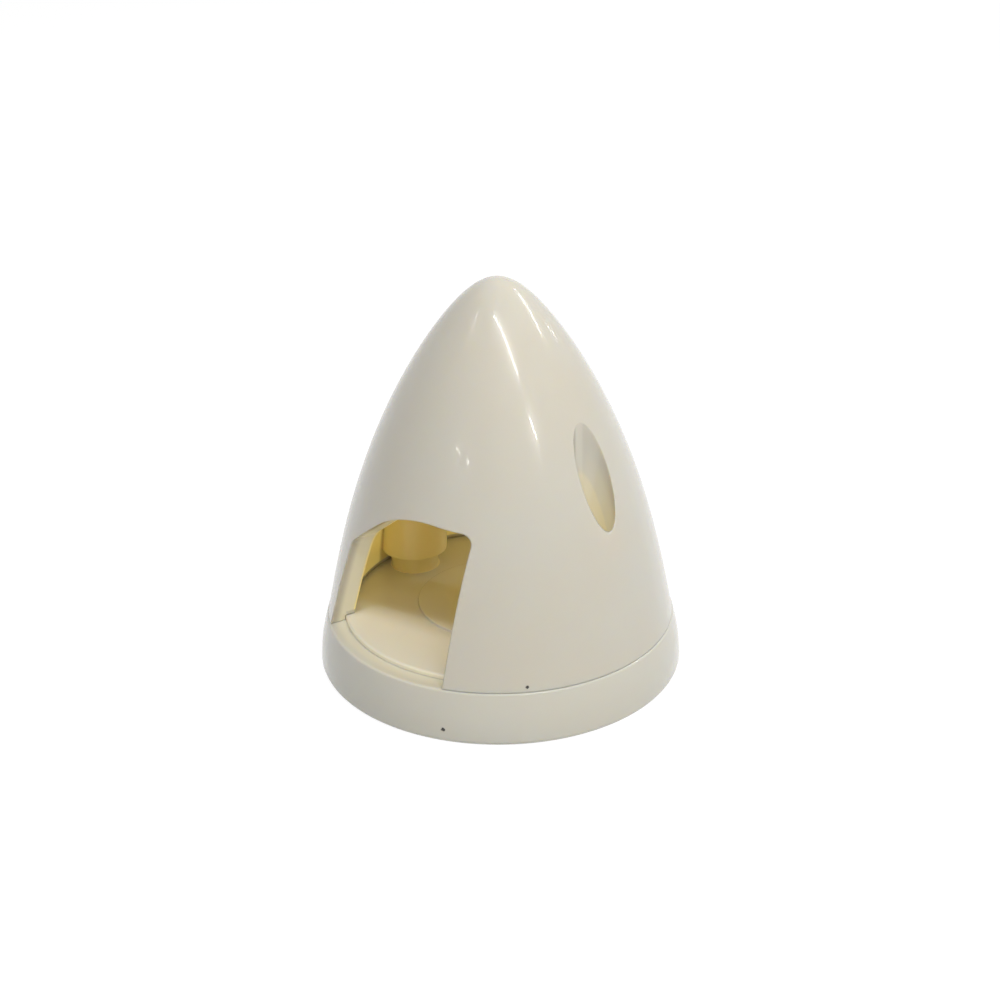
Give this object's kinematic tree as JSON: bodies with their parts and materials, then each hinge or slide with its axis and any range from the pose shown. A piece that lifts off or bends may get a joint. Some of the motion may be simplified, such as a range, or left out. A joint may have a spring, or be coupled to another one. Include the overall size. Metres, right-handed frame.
{
  "type": "propeller spinner",
  "caption": "Moulded plastic ogive spinner for a model aircraft propeller, with a screw-fastened nose cone, blade openings and a ribbed backplate.",
  "frame": {"origin": "centre of the backplate's rear face", "axes": "+Z along the spin axis towards the tip, the blade openings face -Y and +Y, the screw pockets lie at +X and -X"},
  "size_m": [0.0568, 0.0568, 0.0623],
  "materials": {
    "cone_plastic": "moulded cream plastic, glossy, slightly translucent",
    "plate_plastic": "moulded cream plastic, semi-gloss",
    "screw_steel": "zinc-plated steel"
  },
  "bodies": {
    "root": {"nose_cone": "cone_plastic", "backplate": "plate_plastic", "cone_screw_1": "screw_steel", "cone_screw_2": "screw_steel"}
  },
  "joints": []
}
